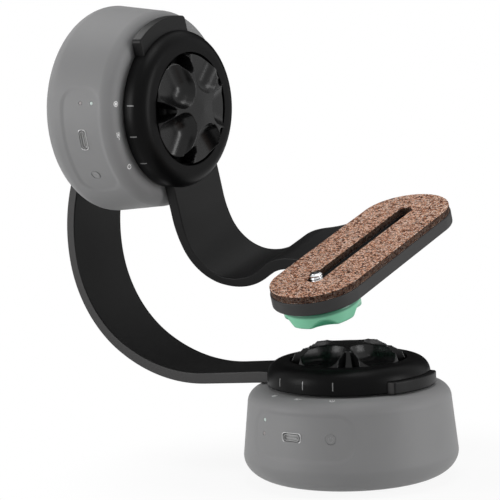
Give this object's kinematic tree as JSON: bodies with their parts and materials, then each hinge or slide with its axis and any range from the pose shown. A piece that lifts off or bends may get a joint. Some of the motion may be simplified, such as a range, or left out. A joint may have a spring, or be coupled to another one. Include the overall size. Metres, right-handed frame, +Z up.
{
  "type": "motorised pan tilt camera bracket",
  "caption": "Pan and tilt bracket: a round motor head on a foot, a bent strap to a second head lying on its side, and a hooked strap that ends in a cork faced camera plate.",
  "frame": {"origin": "middle of the pan head's foot ring, on the pan axis, where the tripod screw goes in", "axes": "+Z up along the pan axis, +X along the tilt axis from the tilt head toward the pan axis, +Y completes the right-handed frame, away from the picture's viewpoint"},
  "size_m": [0.2101, 0.1303, 0.2294],
  "materials": {
    "grey_shell": "fine matt moulded plastic",
    "black_plastic": "satin",
    "knob_plastic": "satin",
    "foot_rubber": "matt",
    "brass_insert": "machined",
    "circuit_board": "solder mask",
    "battery_wrap": "shrink wrap",
    "motor_can": "brushed",
    "black_metal": "black anodised",
    "bearing_steel": "ground",
    "port_steel": "satin",
    "lamp_lens": "clear",
    "arm_black": "satin black anodised",
    "cork": "granulated cork",
    "camera_screw_steel": "polished",
    "green_plastic": "satin"
  },
  "bodies": {
    "pan_head": {"pan_shell": "grey_shell", "pan_foot_plate": "black_plastic", "pan_foot_ring": "foot_rubber", "pan_tripod_socket": "brass_insert", "pan_main_board": "circuit_board", "pan_port_board": "circuit_board", "pan_battery": "battery_wrap", "pan_motor": "motor_can", "pan_chassis": "black_metal", "pan_bearing": "bearing_steel", "pan_usb_port": "port_steel", "pan_upper_lamp": "lamp_lens", "pan_lower_lamp": "lamp_lens"},
    "pan_button": {"pan_power_button": "grey_shell"},
    "pan_turn": {"pan_turntable": "black_metal", "pan_disc": "black_plastic", "pan_arm": "arm_black", "arm_screw": "port_steel", "tilt_shell": "grey_shell", "tilt_foot_plate": "black_plastic", "tilt_foot_ring": "foot_rubber", "tilt_tripod_socket": "brass_insert", "tilt_main_board": "circuit_board", "tilt_port_board": "circuit_board", "tilt_battery": "battery_wrap", "tilt_motor": "motor_can", "tilt_chassis": "black_metal", "tilt_bearing": "bearing_steel", "tilt_usb_port": "port_steel", "tilt_upper_lamp": "lamp_lens", "tilt_lower_lamp": "lamp_lens"},
    "pan_clamp": {"pan_knob": "knob_plastic", "pan_knob_screw": "bearing_steel"},
    "tilt_button": {"tilt_power_button": "grey_shell"},
    "tilt_turn": {"tilt_turntable": "black_metal", "tilt_disc": "black_plastic", "tilt_arm": "arm_black", "cork_pad": "cork"},
    "tilt_clamp": {"tilt_knob": "knob_plastic", "tilt_knob_screw": "bearing_steel"},
    "camera_slide": {"camera_washer": "black_plastic"},
    "camera_clamp": {"camera_screw": "camera_screw_steel", "camera_knob": "green_plastic"}
  },
  "joints": [
    {"name": "pan_rotation", "type": "hinge", "parent": "pan_head", "child": "pan_turn", "pos_m": [0, 0, 0.0455], "axis": [0, 0, 1], "continuous": true},
    {"name": "tilt_rotation", "type": "hinge", "parent": "pan_turn", "child": "tilt_turn", "pos_m": [-0.10189, 0, 0.1775], "axis": [1, 0, 0], "continuous": true},
    {"name": "pan_clamp_turn", "type": "hinge", "parent": "pan_turn", "child": "pan_clamp", "pos_m": [0, 0, 0.0539], "axis": [0, 0, 1], "continuous": true},
    {"name": "tilt_clamp_turn", "type": "hinge", "parent": "tilt_turn", "child": "tilt_clamp", "pos_m": [-0.09349, 0, 0.1775], "axis": [1, 0, 0], "continuous": true},
    {"name": "camera_screw_slide", "type": "slide", "parent": "tilt_turn", "child": "camera_slide", "axis": [0, 0.9588, 0.284], "range_m": [-0.0012, 0.0828]},
    {"name": "camera_clamp_turn", "type": "hinge", "parent": "camera_slide", "child": "camera_clamp", "pos_m": [0, -0.02554, 0.10247], "axis": [0, -0.284, 0.9588], "continuous": true},
    {"name": "pan_button_press", "type": "slide", "parent": "pan_head", "child": "pan_button", "axis": [-0.3907, 0.9205, 0], "range_m": [0, 0.0008], "stiffness_N_per_m": 400, "springref_m": -0.0012},
    {"name": "tilt_button_press", "type": "slide", "parent": "pan_turn", "child": "tilt_button", "axis": [0, 0.7986, 0.6018], "range_m": [0, 0.0008], "stiffness_N_per_m": 400, "springref_m": -0.0012}
  ]
}
